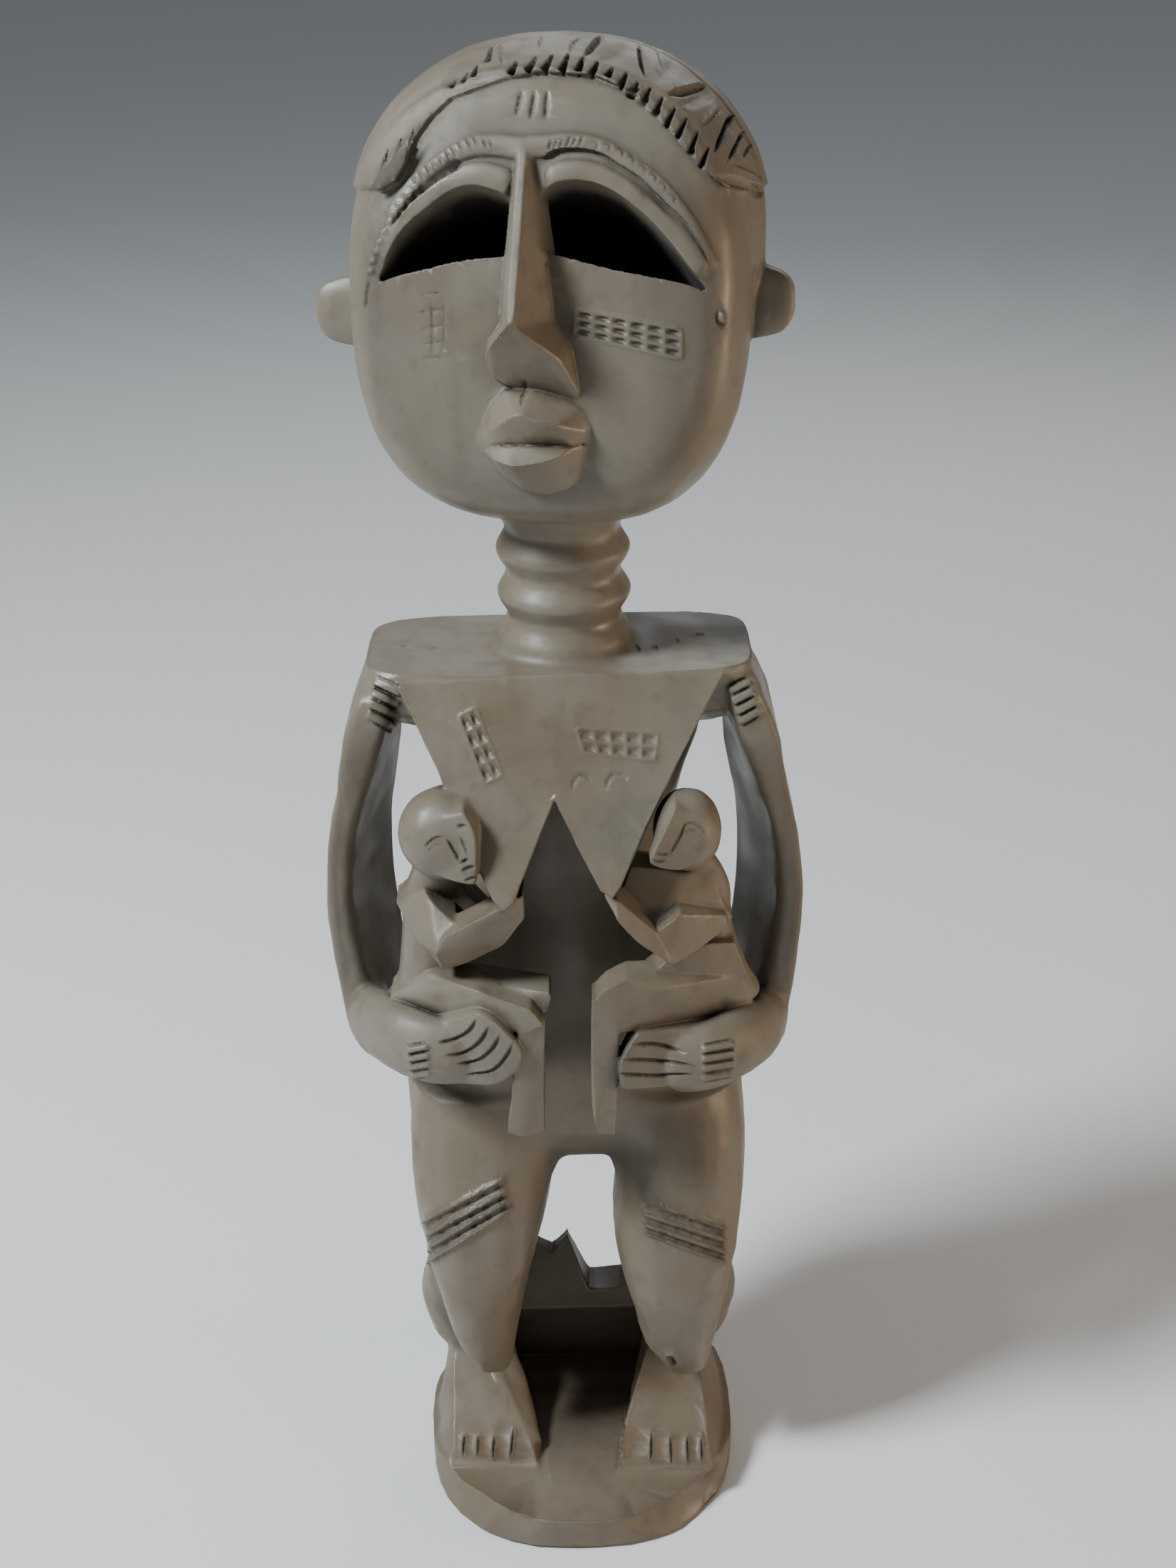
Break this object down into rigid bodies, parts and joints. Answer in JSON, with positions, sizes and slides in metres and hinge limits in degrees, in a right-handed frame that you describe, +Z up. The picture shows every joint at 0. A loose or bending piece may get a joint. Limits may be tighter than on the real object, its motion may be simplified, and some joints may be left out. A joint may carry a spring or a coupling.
{
  "type": "carved maternity figure",
  "caption": "Carved wooden figure of a standing mother nursing twin infants, with a large oval head and ringed neck, on an oval base that it stands on.",
  "frame": {"origin": "middle of the base's underside, where the figure's own centre plane meets it; the figure rests on Z = 0", "axes": "+Z up along the figure, -Y towards the front that the figure faces, +X towards the figure's own left"},
  "size_m": [0.156, 0.1244, 0.4987],
  "materials": {
    "wood": "waxed, worn satin"
  },
  "bodies": {
    "root": {"maternity_figure": "wood"}
  },
  "joints": []
}
